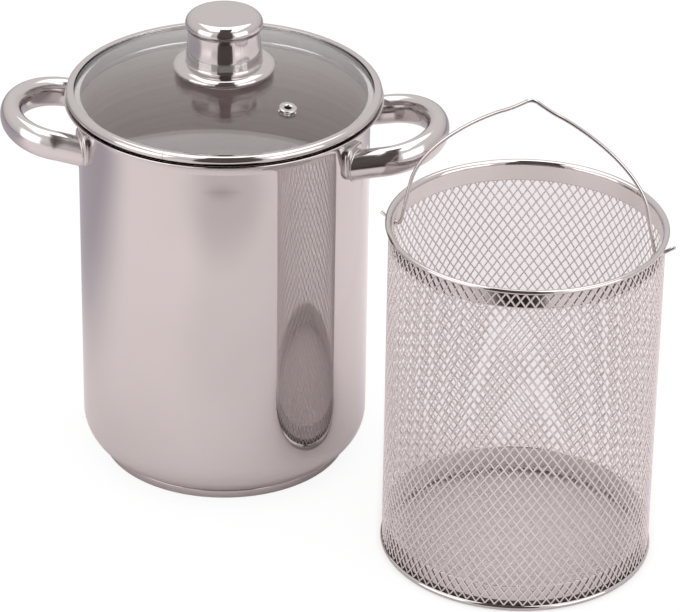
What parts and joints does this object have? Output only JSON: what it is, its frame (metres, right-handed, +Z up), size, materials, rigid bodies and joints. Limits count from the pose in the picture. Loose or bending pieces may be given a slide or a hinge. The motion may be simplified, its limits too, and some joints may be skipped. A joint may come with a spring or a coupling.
{
  "type": "asparagus pot",
  "caption": "Tall steel pot with tube handles and a knobbed glass lid, with a lift-out wire mesh basket on a swinging bail for steaming asparagus upright.",
  "frame": {"origin": "centre of the pot's base, on the surface that the pot and the basket stand on", "axes": "+Z up along the pot's axis, +X along the two handles towards the side where the basket stands, +Y away from the viewer"},
  "size_m": [0.3767, 0.2571, 0.2712],
  "materials": {
    "polished_steel": "polished",
    "mesh_steel": "satin",
    "aluminium": "satin",
    "clear_glass": "gloss",
    "silicone": "matte"
  },
  "bodies": {
    "pot": {"pot_shell": "polished_steel", "base_cap": "polished_steel", "base_core": "aluminium", "left_handle": "polished_steel", "left_handle_front_plate": "polished_steel", "left_handle_rear_plate": "polished_steel", "right_handle": "polished_steel", "right_handle_front_plate": "polished_steel", "right_handle_rear_plate": "polished_steel"},
    "lid": {"lid_glass": "clear_glass", "lid_band": "polished_steel", "knob_skirt": "polished_steel", "knob_cap": "polished_steel", "knob_insert": "aluminium", "knob_screw": "polished_steel", "knob_washer": "polished_steel", "knob_upper_gasket": "silicone", "knob_lower_gasket": "silicone", "vent_eyelet": "polished_steel", "vent_washer": "polished_steel"},
    "basket": {"basket_wall_mesh": "mesh_steel", "basket_bottom_mesh": "mesh_steel", "basket_top_band": "polished_steel", "basket_bottom_band": "polished_steel"},
    "bail": {"bail": "mesh_steel"}
  },
  "joints": [
    {"name": "lid_lift", "type": "slide", "parent": "pot", "child": "lid", "axis": [0, 0, 1], "range_m": [0, 0.15]},
    {"name": "basket_lift", "type": "slide", "parent": "pot", "child": "basket", "axis": [0, 0, 1], "range_m": [0, 0.25]},
    {"name": "bail_swing", "type": "hinge", "parent": "basket", "child": "bail", "pos_m": [0.1724, -0.093, 0.1891], "axis": [0.989, -0.1478, 0], "range_deg": [-78, 78]}
  ]
}
